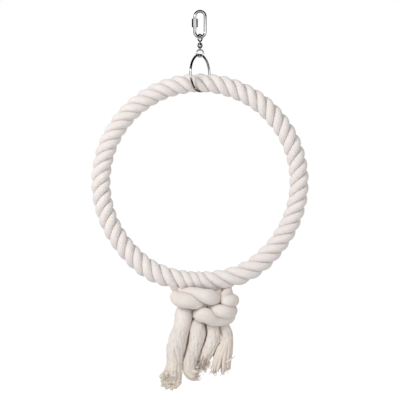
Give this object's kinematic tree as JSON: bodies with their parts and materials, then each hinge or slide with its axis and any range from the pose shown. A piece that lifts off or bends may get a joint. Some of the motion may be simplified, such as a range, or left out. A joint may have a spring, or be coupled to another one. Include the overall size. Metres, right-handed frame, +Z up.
{
  "type": "rope ring bird swing",
  "caption": "Round bird swing of three-strand cotton rope with a knotted, frayed tassel, hung from a steel ring, a barrel swivel and a quick link",
  "frame": {"origin": "the point inside the top bend of the quick link that rests on what carries the swing", "axes": "+Z up, X across the rope ring, the rope ring in the XZ plane, front view along +Y"},
  "size_m": [0.249, 0.0613, 0.4353],
  "materials": {
    "polished_steel": "polished",
    "hoop_steel": "plain drawn wire",
    "cotton_rope": "soft undyed cotton"
  },
  "bodies": {
    "link": {"quick_link_body": "polished_steel"},
    "nut": {"quick_link_nut": "polished_steel"},
    "upper_eye": {"swivel_upper_eye": "polished_steel"},
    "barrel": {"swivel_barrel": "polished_steel"},
    "lower_eye": {"swivel_lower_eye": "polished_steel"},
    "hanger": {"hanger_ring": "polished_steel"},
    "rope": {"core_hoop": "hoop_steel", "strand_1": "cotton_rope", "strand_2": "cotton_rope", "strand_3": "cotton_rope", "strand_1_left_end": "cotton_rope", "strand_1_right_end": "cotton_rope", "strand_2_left_end": "cotton_rope", "strand_2_right_end": "cotton_rope", "strand_3_left_end": "cotton_rope", "strand_3_right_end": "cotton_rope"}
  },
  "joints": [
    {"name": "nut_slide", "type": "slide", "parent": "link", "child": "nut", "axis": [0, 0, -1], "range_m": [0, 0.0052]},
    {"name": "eye_swing", "type": "hinge", "parent": "link", "child": "upper_eye", "pos_m": [0, 0, -0.02805], "axis": [1, 0, 0], "range_deg": [-30, 30]},
    {"name": "barrel_turn", "type": "hinge", "parent": "upper_eye", "child": "barrel", "pos_m": [0, 0, -0.03775], "axis": [0, 0, 1], "continuous": true},
    {"name": "lower_eye_turn", "type": "hinge", "parent": "barrel", "child": "lower_eye", "pos_m": [0, 0, -0.03775], "axis": [0, 0, 1], "continuous": true},
    {"name": "hanger_swing", "type": "hinge", "parent": "lower_eye", "child": "hanger", "pos_m": [0, 0, -0.0507], "axis": [1, 0, 0], "range_deg": [-40, 40]},
    {"name": "rope_swing", "type": "hinge", "parent": "hanger", "child": "rope", "pos_m": [0, 0, -0.09045], "axis": [0.515, 0.8572, 0], "range_deg": [-25, 25]}
  ]
}
